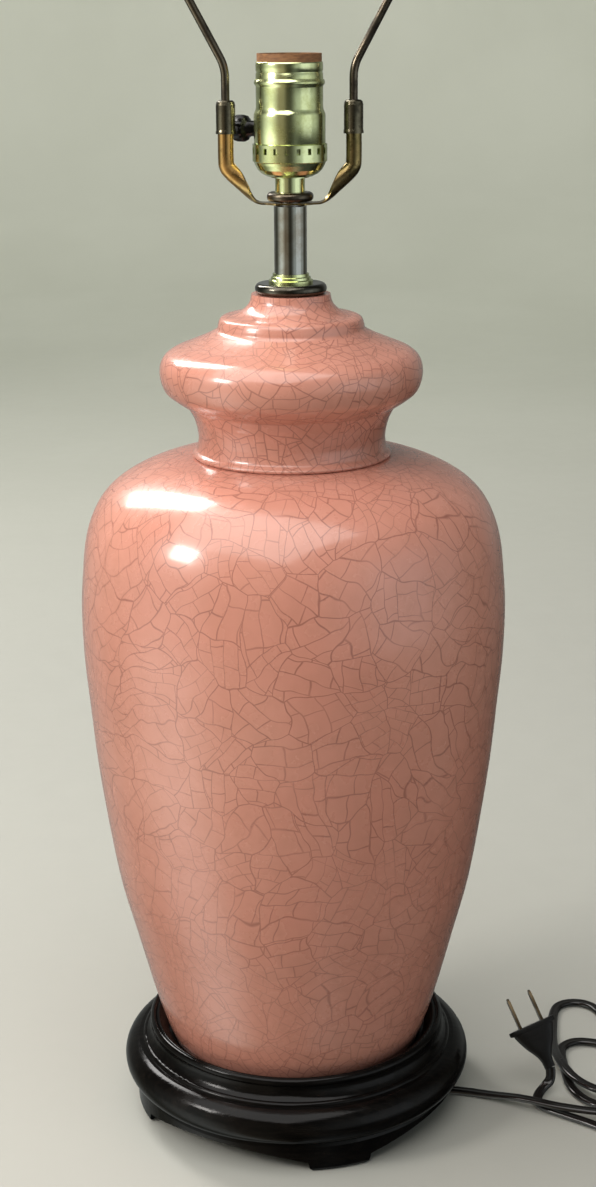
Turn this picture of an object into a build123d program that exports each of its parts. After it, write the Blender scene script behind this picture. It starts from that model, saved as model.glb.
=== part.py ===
from build123d import *
import os
from math import sin, cos, radians, degrees, pi, tan

os.makedirs("parts", exist_ok=True)

# Table lamp with a crackle-glazed ginger-jar body on a turned wood stand.
# Millimetres, +Z up, floor at z = 0, lamp axis at x = y = 0, front towards -Y.
# The socket and neck are threaded on one steel pipe; the harp lifts out of the saddle's arms.

# ---- driving heights above the floor -------------------------------------
SEAT_Z = 38.0          # recess floor in the stand, where the jar rests
JAR_TOP = 435.6        # top of the jar, under the neck ring
RING_TOP = 440.8       # top of the bronze neck ring
FLANGE_TOP = 445.4     # top of the brass flange round the neck tube
TUBE_TOP = 477.8       # top of the neck tube, under the harp saddle
SADDLE_TOP = 480.1     # upper face of the saddle strip
COLLAR_TOP = 484.5     # top of the bronze collar
CAP_FLOOR = 491.4      # underside of the socket cap's bowl
CAP_RIM = 507.2        # open edge of the socket cap
SHELL_RIM = 545.3      # upper edge of the brass shell
SLEEVE_TOP = 549.2     # upper edge of the insulating sleeve
KNOB_Z = 513.9         # axis of the switch knob

# ---- driving radii -------------------------------------------------------
STAND_R = 93.0         # widest part of the stand
FOOT_R = 86.5          # outside of the feet
PIPE_R, PIPE_BORE = 5.15, 3.25
CAP_R, SHELL_R, UPPER_R = 18.0, 17.2, 16.1
SHEET = 0.6            # brass shell thickness
SLEEVE_R, SLEEVE_BORE = 15.5, 14.5
SCREW_R, SCREW_BORE = 14.0, 13.3
LEG_X = 30.6           # harp legs either side of the axis
WIRE_R = 2.0           # harp wire
ARM_R, ARM_BORE = 3.9, 2.5
CORD_D = 3.8           # round tube with the section area of the flat cord
LAY = 2.0              # height of the cord's centre line on the floor
OVER = 6.3             # the same where it crosses itself

KNOB_DEG = 151.0       # direction of the switch shaft, seen from above
FOOT_DEG = [-75.0, 15.0, 105.0, 195.0]


def turned(points):
    """Solid of revolution about Z from (radius, height) corners."""
    with BuildPart() as p:
        with BuildSketch(Plane.XZ):
            with BuildLine():
                Polyline(*points, close=True)
            make_face()
        revolve(axis=Axis.Z)
    return p.part


def ring(r_out, r_in, z0, z1, soft=0.0):
    body = Pos(0, 0, (z0 + z1) / 2) * (Cylinder(r_out, z1 - z0) - Cylinder(r_in, z1 - z0 + 1))
    if soft:
        rims = body.edges().filter_by(GeomType.CIRCLE).filter_by(lambda e: abs(e.radius - r_out) < 0.01)
        body = fillet(rims, soft)
    return body


def rod(r, start, end):
    """Round bar between two points."""
    a, b = Vector(*start), Vector(*end)
    return extrude(Plane(origin=a, z_dir=b - a) * Circle(r), (b - a).length)


def radial(r, out_a, out_b, deg, z):
    """Round bar lying along a spoke of the lamp, between two distances from the axis."""
    c, s = cos(radians(deg)), sin(radians(deg))
    return rod(r, (out_a * c, out_a * s, z), (out_b * c, out_b * s, z))


def save(name, shape):
    shape.label = name
    export_step(shape, f"parts/{name}.step")
    print(f"{name:20s} {shape.volume / 1000:9.2f} cm3")
    return shape


# ---- turned wood stand ---------------------------------------------------
with BuildPart() as stand:
    with BuildSketch(Plane.XZ):
        with BuildLine():
            Line((66, 0), (FOOT_R - 1.5, 0))
            Line((FOOT_R - 1.5, 0), (FOOT_R, 2.0))
            Line((FOOT_R, 2.0), (FOOT_R, 14.0))
            Line((FOOT_R, 14.0), (FOOT_R - 0.8, 16.0))
            ThreePointArc((FOOT_R - 0.8, 16.0), (STAND_R, 26.0), (85.5, 35.4))
            Line((85.5, 35.4), (83.4, 35.6))
            ThreePointArc((83.4, 35.6), (82.6, 37.1), (81.2, 37.4))
            ThreePointArc((81.2, 37.4), (78.9, 39.9), (78.2, 44.0))
            ThreePointArc((78.2, 44.0), (78.9, 46.6), (77.2, 48.2))
            Line((77.2, 48.2), (75.8, 46.8))
            ThreePointArc((75.8, 46.8), (74.8, 47.4), (73.6, 46.4))
            Line((73.6, 46.4), (69.6, 42.0))
            Line((69.6, 42.0), (69.6, SEAT_Z))
            Line((69.6, SEAT_Z), (5.3, SEAT_Z))
            Line((5.3, SEAT_Z), (5.3, 26.0))
            Line((5.3, 26.0), (60.0, 26.0))
            ThreePointArc((60.0, 26.0), (64.5, 24.0), (66.0, 19.0))
            Line((66.0, 19.0), (66, 0))
        make_face()
    revolve(axis=Axis.Z)
    # four low arches leave four feet
    half = FOOT_R * sin(radians(35))
    for deg in FOOT_DEG:
        side_on = Plane(origin=(0, 0, 0), x_dir=(-sin(radians(deg + 45)), cos(radians(deg + 45)), 0),
                        z_dir=(cos(radians(deg + 45)), sin(radians(deg + 45)), 0))
        with BuildSketch(side_on.offset(50)):
            with BuildLine():
                Line((-half, -1), (half, -1))
                Line((half, -1), (half - 1.5, 5.5))
                ThreePointArc((half - 1.5, 5.5), (0, 12.0), (-half + 1.5, 5.5))
                Line((-half + 1.5, 5.5), (-half, -1))
            make_face()
        extrude(amount=50, mode=Mode.SUBTRACT)
save("base_stand", stand.part)

# ---- ceramic jar, one hollow slip-cast piece ------------------------------
SIDE = [(67.2, 41.0), (69.9, 47.6), (75.9, 66.8), (84.7, 102.0), (92.0, 131.0), (97.6, 164.0),
        (102.2, 197.0), (105.4, 230.0), (107.4, 253.0), (108.0, 276.0), (107.0, 294.0),
        (104.4, 315.0), (98.7, 330.3), (90.5, 340.2), (78.5, 347.6), (65.0, 352.6), (50.6, 355.8)]
NECK = [(48.8, 358.6), (47.0, 361.8), (46.6, 366.0), (47.6, 371.4), (49.0, 375.6), (51.6, 380.4)]
BULGE = [(51.6, 380.4), (58.4, 384.9), (63.0, 389.2), (65.1, 396.6), (63.9, 403.4), (59.5, 407.8),
         (51.0, 411.4), (43.0, 414.8), (37.4, 417.8)]
FLARE = [(28.6, 425.6), (25.0, 426.7), (22.0, 429.0), (20.2, 431.8), (19.4, JAR_TOP)]
with BuildPart() as jar:
    with BuildSketch(Plane.XZ):
        with BuildLine():
            Line((6.0, SEAT_Z), (65.6, SEAT_Z))
            Line((65.6, SEAT_Z), SIDE[0])
            Spline(*SIDE, tangents=[(0.3, 1), (-1, 0.1)])
            ThreePointArc(SIDE[-1], (50.3, 357.8), NECK[0])
            Spline(*NECK, tangents=[(-0.9, 1), (0.7, 1)])
            Spline(*BULGE, tangents=[(1, 0.55), (-1, 0.6)])
            ThreePointArc(BULGE[-1], (36.0, 421.6), (32.8, 424.9))
            Line((32.8, 424.9), FLARE[0])
            Spline(*FLARE, tangents=[(-1, 0.1), (-0.1, 1)])
            Line(FLARE[-1], (5.6, JAR_TOP))
            Line((5.6, JAR_TOP), (5.6, 426.0))
            # inside of the wall, about six millimetres thick
            Spline((5.6, 426.0), (14.0, 423.0), (27.0, 416.0), (44.0, 406.6), (55.6, 402.0),
                   (58.8, 396.4), (56.0, 390.0), (46.0, 383.0), (41.6, 374.0), (40.4, 362.0),
                   (43.0, 352.6), (60.0, 346.8), (76.0, 341.6), (90.0, 332.0), (98.6, 313.0),
                   (102.0, 276.0), (99.4, 230.0), (91.6, 164.0), (78.6, 102.0), (63.4, 50.0))
            Line((63.4, 50.0), (60.0, 45.0))
            Line((60.0, 45.0), (6.0, 45.0))
            Line((6.0, 45.0), (6.0, SEAT_Z))
        make_face()
    revolve(axis=Axis.Z)
save("ceramic_body", jar.part)

# ---- neck: bronze ring, brass flange and tube ------------------------------
neck_ring = ring(17.6, PIPE_R, JAR_TOP, RING_TOP, 2.4)
save("neck_ring", neck_ring)

TUBE_SEAT = RING_TOP + 1.0
tube_flange = turned([(PIPE_R, RING_TOP), (10.9, RING_TOP), (10.9, RING_TOP + 1.4),
                      (9.9, RING_TOP + 1.8), (9.7, RING_TOP + 2.9), (9.0, RING_TOP + 3.3),
                      (8.8, FLANGE_TOP), (8.0, FLANGE_TOP), (8.0, TUBE_SEAT), (PIPE_R, TUBE_SEAT)])
save("tube_flange", tube_flange)

neck_tube = ring(8.0, 7.1, TUBE_SEAT, TUBE_TOP)
save("neck_tube", neck_tube)

# ---- harp saddle: strip that curls into two tubular arms --------------------
ARM_TOP, ELBOW_Z, STRIP_END = 524.0, 492.0, 16.0
strip_mid = (TUBE_TOP + SADDLE_TOP) / 2


def channel(outer, inner, depth):
    """Half-curled section: a U open towards +Y."""
    u = Circle(outer) - Circle(inner)
    return u & (Pos(0, -outer + depth / 2) * Rectangle(2 * outer + 2, depth))


def saddle_arm(side):
    foot, knee = (side * (STRIP_END - 4), strip_mid), (side * STRIP_END, strip_mid)
    elbow = (side * LEG_X, ELBOW_Z)
    path = FilletPolyline(*[(x, 0, z) for x, z in (foot, knee, elbow, (side * LEG_X, ELBOW_Z + 9))],
                          radius=[4.5, 6.0])
    start = Plane(origin=path @ 0, x_dir=(0, side, 0), z_dir=path % 0)
    half = Pos(0, 0, 3.2) * sweep(start * channel(4.4, 2.6, 3.9), path)
    arm = Pos(side * LEG_X, 0, (ELBOW_Z + ARM_TOP) / 2) * (
        Cylinder(ARM_R, ARM_TOP - ELBOW_Z) - Cylinder(ARM_BORE, ARM_TOP - ELBOW_Z + 1))
    slot = Pos(side * (LEG_X - ARM_R), 0, (ELBOW_Z + ARM_TOP) / 2) * Box(
        2 * ARM_R - 2.4, 1.6, ARM_TOP - ELBOW_Z + 1)
    return half, arm - slot


plate = Pos(0, 0, strip_mid) * Box(2 * STRIP_END, 12.4, SADDLE_TOP - TUBE_TOP)
plate = fillet(plate.edges().filter_by(Axis.Z), 3.0)
pieces = []
for side in (-1, 1):
    half, arm = saddle_arm(side)
    pieces += [half, arm]
saddle = plate.fuse(*pieces)
saddle -= Cylinder(7.0, 60).moved(Location((0, 0, SADDLE_TOP + 30)))
saddle -= Cylinder(PIPE_R, 60).moved(Location((0, 0, strip_mid)))
saddle &= Pos(0, 0, TUBE_TOP + 40) * Box(120, 40, 80)
save("harp_saddle", saddle)

saddle_ring = ring(11.3, PIPE_R, SADDLE_TOP, COLLAR_TOP, 2.0)
save("saddle_ring", saddle_ring)

# ---- threaded pipe that holds everything together ---------------------------
PIPE_FOOT, PIPE_HEAD = 17.5, 493.2
pipe = ring(PIPE_R, PIPE_BORE, PIPE_FOOT, PIPE_HEAD)
save("threaded_pipe", pipe)

save("bottom_washer", ring(14.0, PIPE_R, 24.4, 26.0))
nut = extrude(Pos(0, 0, 20.4) * (RegularPolygon(9.1, 6) - Circle(PIPE_R)), 4.0)
save("bottom_nut", nut)

bushing = turned([(CORD_D / 2, 15.5), (4.6, 15.5), (5.6, 16.4), (5.6, PIPE_FOOT),
                  (PIPE_BORE, PIPE_FOOT), (PIPE_BORE, 23.0), (CORD_D / 2, 23.0)])
save("cord_bushing", bushing)

# ---- socket -------------------------------------------------------------------
hub = ring(7.2, PIPE_R, COLLAR_TOP, CAP_FLOOR)
hub -= radial(1.5, 4.0, 9.0, 90, 488.2)
save("cap_hub", hub)
save("hub_set_screw", radial(1.5, PIPE_R, 8.0, 90, 488.2))

cap = turned([(PIPE_R, CAP_FLOOR), (9.2, CAP_FLOOR), (9.2, CAP_FLOOR + 0.8), (11.0, 492.0),
              (13.6, 493.3), (15.6, 495.2), (16.9, 497.6), (17.4, 498.8), (CAP_R, 499.2),
              (CAP_R, CAP_RIM), (SHELL_R, CAP_RIM), (SHELL_R, 499.6), (16.5, 498.6),
              (15.0, 495.9), (13.2, 494.1), (10.8, 492.9), (PIPE_R, 492.6)])
for k in range(20):
    cap -= Rot(0, 0, 18 * k + 13.4) * Pos(CAP_R, 0, 504.3) * Box(3, 1.9, 2.9)
save("socket_cap", cap)

BEAD = 535.8
shell = turned([(SHELL_R, 500.2), (SHELL_R, 521.6), (UPPER_R, 523.8), (UPPER_R, BEAD - 1.6),
                (UPPER_R + 0.7, BEAD - 0.9), (UPPER_R + 0.9, BEAD), (UPPER_R + 0.7, BEAD + 0.9),
                (UPPER_R, BEAD + 1.6), (UPPER_R, SHELL_RIM), (SLEEVE_R, SHELL_RIM),
                (SLEEVE_R, 523.5), (SHELL_R - SHEET, 521.3), (SHELL_R - SHEET, 500.2)])
shell -= radial(4.3, 10, 24, KNOB_DEG, KNOB_Z)
save("socket_shell", shell)

sleeve = ring(SLEEVE_R, SLEEVE_BORE, 502.0, SLEEVE_TOP) - radial(3.2, 10, 24, KNOB_DEG, KNOB_Z)
save("insulating_sleeve", sleeve)

SCREW_FLOOR, WELL_FLOOR = 522.6, 520.0
save("screw_shell", ring(SCREW_R, SCREW_BORE, SCREW_FLOOR, 546.0))

housing = turned([(0, 502), (SCREW_R, 502), (SCREW_R, SCREW_FLOOR), (5.0, SCREW_FLOOR), (5.0, WELL_FLOOR),
                  (0, WELL_FLOOR)])
SHAFT_R, SHAFT_RUN = 1.6, 1.65
housing -= radial(SHAFT_RUN, 4.0, 16, KNOB_DEG, KNOB_Z)
for side in (-90, 90):
    deg = KNOB_DEG + side
    flat = Pos(14.5, 0, 505.5) * Box(7.0, 9.0, 7.2)
    housing -= Rot(0, 0, deg) * flat
    housing -= radial(1.4, 6.0, 14, deg, 505.5)
save("socket_body", housing)

contact = Pos(0, 0, WELL_FLOOR + 0.4) * Cylinder(4.2, 0.8)
contact += Pos(0, 0, WELL_FLOOR + 1.4) * Cone(3.4, 2.2, 1.4)
save("center_contact", contact)

screws = []
for side in (-90, 90):
    deg = KNOB_DEG + side
    screws += [radial(2.7, 11.0, 13.0, deg, 505.5) + radial(1.4, 6.0, 11.0, deg, 505.5)]
save("terminal_screws", Compound(screws))

# switch shaft and its fluted knob turn together
rotor = radial(SHAFT_R, 4.6, 28.0, KNOB_DEG, KNOB_Z)
save("switch_rotor", rotor)

KNOB_R = 6.45
knob = Rot(0, 90, 0) * (Pos(0, 0, 20.3) * Cylinder(3.7, 4.8)
                        + Pos(0, 0, 23.2) * Cone(3.7, 6.0, 1.6)
                        + Pos(0, 0, 27.2) * Cylinder(KNOB_R, 6.4))
for k in range(12):
    knob -= Rot(30 * k + 15, 0, 0) * Pos(27.2, 0, KNOB_R + 0.5) * Rot(0, 90, 0) * Cylinder(0.9, 8)
knob -= Rot(0, 90, 0) * Pos(0, 0, 22.9) * Cylinder(SHAFT_R, 10.2)
knob = Pos(0, 0, KNOB_Z) * Rot(0, 0, KNOB_DEG) * knob
save("switch_knob", knob)

# ---- wiring inside the lamp -----------------------------------------------------
save("inner_cord", rod(CORD_D / 2, (0, 0, 15.5), (0, 0, 495.0)))
leads = []
for side in (-90, 90):
    c, s = cos(radians(KNOB_DEG + side)), sin(radians(KNOB_DEG + side))
    route = FilletPolyline((1.0 * c, 1.0 * s, 495.0), (1.0 * c, 1.0 * s, 498.2),
                           (12.0 * c, 12.0 * s, 498.2), (12.0 * c, 12.0 * s, 502.8),
                           radius=[1.6, 1.6])
    leads.append(sweep(Plane(origin=route @ 0, z_dir=route % 0) * Circle(0.85), route))
save("lead_wires", Compound(leads))

# ---- harp -------------------------------------------------------------------------
HARP_TOP = 712.0
half_harp = [(LEG_X, 511.0), (LEG_X, 543.0), (58.0, 594.1), (63.0, 622.0), (58.5, 656.0),
             (40.0, 692.0), (13.0, HARP_TOP)]
loop_pts = half_harp + [(-x, z) for x, z in reversed(half_harp)]
HARP_R = [20.0, 55.0, 45.0, 60.0, 40.0, 12.0, 12.0, 40.0, 60.0, 45.0, 55.0, 20.0]
harp_path = FilletPolyline(*[(x, 0, z) for x, z in loop_pts], radius=HARP_R)
harp_wire = sweep(Plane(origin=harp_path @ 0, z_dir=harp_path % 0) * Circle(WIRE_R), harp_path)
save("harp_wire", harp_wire)

boss = Pos(0, 0, HARP_TOP) * Cylinder(4.8, 8.0) - Pos(0, 0, HARP_TOP) * Rot(0, 90, 0) * Cylinder(
    WIRE_R, 20)
flange = Pos(0, 0, HARP_TOP + 4.8) * Cylinder(6.4, 1.6)
STUD_R, STUD_LEN = 3.175, 9.0
stud = Pos(0, 0, HARP_TOP + 5.6 + STUD_LEN / 2) * Cylinder(STUD_R, STUD_LEN)
save("harp_top", boss + flange + stud)

FERRULE_LOW, FERRULE_HIGH = 512.0, 527.6
ferrule = turned([(WIRE_R + 0.3, FERRULE_HIGH), (WIRE_R + 0.3, 525.2), (4.25, 525.2),
                  (4.25, FERRULE_LOW), (4.85, FERRULE_LOW), (4.85, FERRULE_LOW + 1.0),
                  (4.65, FERRULE_LOW + 2.0), (4.65, 525.4), (4.3, 526.9), (3.4, FERRULE_HIGH)])
for name, side in (("ferrule_left", -1), ("ferrule_right", 1)):
    save(name, Pos(side * LEG_X, 0, 0) * ferrule)


# ---- mains cord ---------------------------------------------------------------------
def bend(cx, cy, r, start, stop, steps, z):
    """Corner points round a plan-view bend, each turning by the same angle."""
    step = (stop - start) / steps
    out = r / cos(radians(step / 2))
    return [(cx + out * cos(radians(start + (k + 0.5) * step)),
             cy + out * sin(radians(start + (k + 0.5) * step)), z) for k in range(steps)]


def cord_tube(points, label):
    """Straight runs joined by tangent arcs, as large as the runs allow."""
    v = [Vector(*p) for p in points]
    runs = [(b - a).length for a, b in zip(v, v[1:])]
    radii = []
    for k in range(1, len(v) - 1):
        turn = (v[k] - v[k - 1]).get_angle(v[k + 1] - v[k])
        radii.append(0.45 * min(runs[k - 1], runs[k]) / tan(radians(turn / 2)))
    print(label, "radii", [round(r, 1) for r in radii])
    print(label, "runs", [round(r, 1) for r in runs])
    path = FilletPolyline(*points, radius=radii)
    tube = sweep(Plane(origin=path @ 0, z_dir=path % 0) * Circle(CORD_D / 2), path)
    ratio = tube.volume / (path.length * pi * CORD_D ** 2 / 4)
    print(label, f"length {path.length:.1f} mm, volume over section x length {ratio:.4f}",
          "valid" if tube.is_valid else "NOT VALID", len(tube.solids()))
    return tube, path.length


COIL_X, COIL_Y, COIL_OUT, COIL_IN, COIL_H = 240.0, 18.0, 35.5, 24.5, 8.4
TIE = 0.8              # thickness of the strap round the coil
PLUG_REAR = (138.4, -7.2, 14.0)
lamp_side = [(0, 0, 15.5), (0, 0, 8.8), (7.4, -0.7, 2.4), (22.0, -2.6, LAY), (52.0, -4.6, LAY),
             (88.5, -9.6, LAY), (106.0, -16.2, 2.6), (121.5, -25.2, 6.0), (138.5, -34.4, OVER),
             (160.0, -40.6, OVER), (183.0, -43.4, OVER), (207.0, -41.6, OVER), (231.0, -32.6, 5.0),
             (250.0, -18.6, 4.3), (261.0, -4.0, 4.3)]
tube_a, length_a = cord_tube(lamp_side, "lamp side")
save("cord_lamp_side", tube_a)

plug_side = ([(247.0, 47.0, 4.6), (229.0, 50.6, 4.6), (209.0, 50.2, 3.4), (193.0, 54.0, LAY),
              (181.6, 63.0, LAY)]
             + bend(164.5, 76.8, 12.9, 0, 180, 4, LAY)
             + [(147.8, 57.0, LAY), (145.4, 36.0, 3.6), (146.2, 14.0, OVER), (152.6, -8.0, OVER),
                (167.4, -20.6, 5.6), (185.6, -16.6, 3.6), (194.6, -2.0, LAY), (194.2, 14.0, LAY),
                (188.6, 28.0, LAY), (178.5, 38.4, LAY)]
             + bend(162.8, 29.6, 13.6, 70, 182, 3, LAY)
             + [(149.2, 10.0, LAY), (149.6, -9.0, LAY), (158.4, -25.2, LAY), (176.0, -31.6, LAY)]
             + bend(186.0, -53.4, 15.0, 58, -132, 5, LAY)
             + [(159.6, -47.4, LAY), (145.4, -37.6, LAY), (134.0, -29.8, LAY), (129.6, -23.0, LAY),
                (130.8, -16.6, 3.0), (135.0, -11.8, 5.2), (139.2, -9.8, 8.6), PLUG_REAR])
tube_b, length_b = cord_tube(plug_side, "plug side")
save("cord_plug_side", tube_b)


def coil_solid(grow):
    body = ring(COIL_OUT + grow, COIL_IN - grow, TIE - grow, TIE + COIL_H + grow)
    body = fillet(body.edges().filter_by(GeomType.CIRCLE), 3.4 + grow)
    return Pos(COIL_X, COIL_Y, 0) * body


coil = coil_solid(0)
save("cord_coil", coil)
strap = coil_solid(TIE) & Pos(COIL_X + (COIL_OUT + COIL_IN) / 2, COIL_Y, 6) * Box(20, 5, 30)
save("coil_tie", strap - coil)

# ---- plug, propped on the cord with its blades in the air ------------------------------
plug_frame = Plane(origin=PLUG_REAR, x_dir=(0.92, 0.189, 0.341), z_dir=(-0.39, 0.446, 0.805))
PLUG_LEN, BLADE_LEN, BLADE_GAP = 25.0, 17.5, 12.7
outline = [(-2.9, 0), (2.9, 0), (3.6, 6.0), (7.6, 13.0), (11.4, 22.4), (13.3, 22.9),
           (13.3, PLUG_LEN), (-13.3, PLUG_LEN), (-13.3, 22.9), (-11.4, 22.4), (-7.6, 13.0),
           (-3.6, 6.0)]
with BuildPart() as plug:
    with BuildSketch(Plane.XZ):
        with BuildLine():
            Polyline(*outline, close=True)
        make_face()
    extrude(amount=3.9, both=True)
    flanks = plug.edges().filter_by(lambda e: abs(abs(e.center().Y) - 3.9) < 0.01 and 6 < e.length < 12)
    fillet(flanks, 1.2)
save("plug_body", plug_frame.location * plug.part)

blades = []
for side in (-1, 1):
    blade = Pos(side * BLADE_GAP / 2, 0, PLUG_LEN + BLADE_LEN / 2) * Box(1.5, 6.3, BLADE_LEN)
    blade = chamfer(blade.edges().filter_by(Axis.X).sort_by(Axis.Z)[-2:], 1.4)
    blade -= Pos(side * BLADE_GAP / 2, 0, PLUG_LEN + BLADE_LEN - 4.4) * Rot(0, 90, 0) * Cylinder(1.6, 4)
    blades.append(plug_frame.location * blade)
save("plug_blades", Compound(blades))

print("cord drawn outside the coil %.0f mm" % (length_a + length_b))
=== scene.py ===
import bpy
import bmesh
from math import cos, hypot, pi, radians, sin
from mathutils import Matrix, Vector


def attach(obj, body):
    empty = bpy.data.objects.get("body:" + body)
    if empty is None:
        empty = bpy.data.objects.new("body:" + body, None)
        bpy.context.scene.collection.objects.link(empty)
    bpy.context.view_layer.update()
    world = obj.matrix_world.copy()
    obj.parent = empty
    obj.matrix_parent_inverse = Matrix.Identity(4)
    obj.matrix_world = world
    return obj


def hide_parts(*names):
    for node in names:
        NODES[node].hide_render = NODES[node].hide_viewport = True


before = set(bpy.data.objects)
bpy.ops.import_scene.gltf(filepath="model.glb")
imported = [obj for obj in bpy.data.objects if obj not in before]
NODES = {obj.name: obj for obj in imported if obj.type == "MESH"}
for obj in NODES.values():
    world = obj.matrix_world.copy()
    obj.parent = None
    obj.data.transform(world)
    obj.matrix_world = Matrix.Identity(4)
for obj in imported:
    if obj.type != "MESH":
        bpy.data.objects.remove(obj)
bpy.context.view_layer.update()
MM = 0.001
UP = Vector((0, 0, 1))


# ---- camera ------------------------------------------------------------------
cam_data = bpy.data.cameras.new("camera")
cam_data.lens = 60.66
cam_data.clip_start = 0.05
camera = bpy.data.objects.new("camera", cam_data)
bpy.context.collection.objects.link(camera)
CAMERA_AT, LOOK_DOWN_DEG, ROLL_DEG = (0.0025, -0.982, 0.5694), 16.3, -0.38
camera.matrix_world = (Matrix.Translation(CAMERA_AT)
                       @ Matrix.Rotation(radians(90 - LOOK_DOWN_DEG), 4, "X")
                       @ Matrix.Rotation(radians(ROLL_DEG), 4, "Z"))
bpy.context.scene.camera = camera


# ---- mesh helpers --------------------------------------------------------------
def mesh_object(name, verts, faces, body, sharp=40):
    """A smooth-shaded mesh from points in millimetres, riding on a body."""
    mesh = bpy.data.meshes.new(name)
    mesh.from_pydata([tuple(c * MM for c in v) for v in verts], [], faces)
    bm = bmesh.new()
    bm.from_mesh(mesh)
    bmesh.ops.recalc_face_normals(bm, faces=bm.faces)
    bm.to_mesh(mesh)
    bm.free()
    mesh.polygons.foreach_set("use_smooth", [True] * len(mesh.polygons))
    mesh.set_sharp_from_angle(angle=radians(sharp))
    obj = bpy.data.objects.new(name, mesh)
    bpy.context.collection.objects.link(obj)
    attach(obj, body)
    return obj


def grid_faces(rows, cols, wrap_rows=False, wrap_cols=False):
    faces = []
    for i in range(rows if wrap_rows else rows - 1):
        for j in range(cols if wrap_cols else cols - 1):
            i2, j2 = (i + 1) % rows, (j + 1) % cols
            faces.append((i * cols + j, i * cols + j2, i2 * cols + j2, i2 * cols + j))
    return faces


def smooth_line(points, steps):
    """Catmull-Rom curve through the points."""
    pts = [Vector(p) for p in points]
    pts = [2 * pts[0] - pts[1]] + pts + [2 * pts[-1] - pts[-2]]
    out = []
    for a, b, c, d in zip(pts, pts[1:], pts[2:], pts[3:]):
        for k in range(steps):
            t = k / steps
            out.append(0.5 * (2 * b + (c - a) * t + (2 * a - 5 * b + 4 * c - d) * t * t
                              + (3 * b - a - 3 * c + d) * t ** 3))
    return out + [pts[-2]]


def heading(points, i):
    """Direction of a line of points at one of them."""
    return (points[min(i + 1, len(points) - 1)] - points[max(i - 1, 0)]).normalized()


def squared(value, power):
    """A sine or cosine pushed outward, which turns a circle into a rounded rectangle."""
    return abs(value) ** power * (1 if value > 0 else -1)


def thicken(obj, thickness, offset=0.0):
    """Gives a sheet its thickness, in metres."""
    thick = obj.modifiers.new("thickness", "SOLIDIFY")
    thick.thickness, thick.offset = thickness, offset


def lathe(name, profile, body, segments=160, sharp=40, shape=None):
    """A closed (radius, height) profile turned about the lamp's axis, in millimetres."""
    verts = []
    for r, z in profile:
        for k in range(segments):
            a = 2 * pi * k / segments
            dr = shape(a, r, z) if shape else 0
            verts.append(((r + dr) * cos(a), (r + dr) * sin(a), z))
    faces = grid_faces(len(profile), segments, wrap_rows=True, wrap_cols=True)
    return mesh_object(name, verts, faces, body, sharp)


def material_on(obj, material):
    obj.data.materials.clear()
    obj.data.materials.append(material)


def ease(t):
    t = min(1.0, max(0.0, t))
    return t * t * (3 - 2 * t)


# ---- material helpers ------------------------------------------------------------
class Nodes:
    """Short calls for building a material's node tree."""

    def __init__(self, name):
        self.material = bpy.data.materials.new(name)
        self.material.use_nodes = True
        self.tree = self.material.node_tree
        self.shader = self.tree.nodes["Principled BSDF"]
        self.where = self.tree.nodes.new("ShaderNodeTexCoord").outputs["Object"]

    def add(self, kind, inputs=(), **settings):
        node = self.tree.nodes.new("ShaderNode" + kind)
        for key, value in settings.items():
            setattr(node, key, value)
        for key, value in dict(inputs).items():
            self.put(node, key, value)
        return node

    def put(self, node, key, value):
        if isinstance(value, bpy.types.NodeSocket):
            self.tree.links.new(value, node.inputs[key])
        else:
            node.inputs[key].default_value = value

    def stretched(self, scale):
        return self.add("Mapping", {"Vector": self.where, "Scale": scale}).outputs["Vector"]

    def noise(self, scale, detail=3.0, rough=0.55, vector=None, distortion=0.0):
        return self.add("TexNoise", {"Vector": vector or self.where, "Scale": scale, "Detail": detail,
                                     "Roughness": rough, "Distortion": distortion}).outputs["Fac"]

    def spread(self, value, low, high, to_low=0.0, to_high=1.0):
        return self.add("MapRange", {"Value": value, "From Min": low, "From Max": high,
                                     "To Min": to_low, "To Max": to_high},
                        interpolation_type="SMOOTHSTEP").outputs["Result"]

    def math(self, operation, a, b=0.0):
        node = self.add("Math", operation=operation)
        self.put(node, 0, a)
        self.put(node, 1, b)
        return node.outputs[0]

    def mix(self, factor, a, b, blend="MIX"):
        node = self.add("Mix", data_type="RGBA", blend_type=blend)
        self.put(node, 0, factor)
        self.put(node, 6, a if isinstance(a, bpy.types.NodeSocket) else (*a, 1))
        self.put(node, 7, b if isinstance(b, bpy.types.NodeSocket) else (*b, 1))
        return node.outputs[2]

    def bump(self, height, distance, strength=1.0, under=None):
        node = self.add("Bump", {"Height": height, "Distance": distance, "Strength": strength})
        if under:
            self.put(node, "Normal", under)
        return node.outputs["Normal"]

    def shade(self, **sockets):
        for key, value in sockets.items():
            name = key.replace("_", " ")
            if isinstance(value, tuple) and len(value) == 3:
                value = (*value, 1)
            self.put(self.shader, name, value)
        return self.material


NECK_FOOT, TIER_FOOT = 0.3556, 0.4176      # heights in metres where the jar's cracks start afresh
PLATES_PER_RADIAN = 4.6                    # large plates between the long cracks
SHORT_CRACKS = (0.110, 0.084)              # cells between the short cracks, in radians
HAIR = 0.00030                             # width of one crack, in metres
PINK, PALER_PINK, DEEPER_PINK = (0.590, 0.248, 0.180), (0.632, 0.292, 0.218), (0.52, 0.225, 0.155)
# the second colour is painted shade, laid over the glaze low on the jar
CRACK_TONE, FOOT_PAINTED_SHADE = (0.225, 0.076, 0.056), (0.30, 0.13, 0.105)


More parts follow.
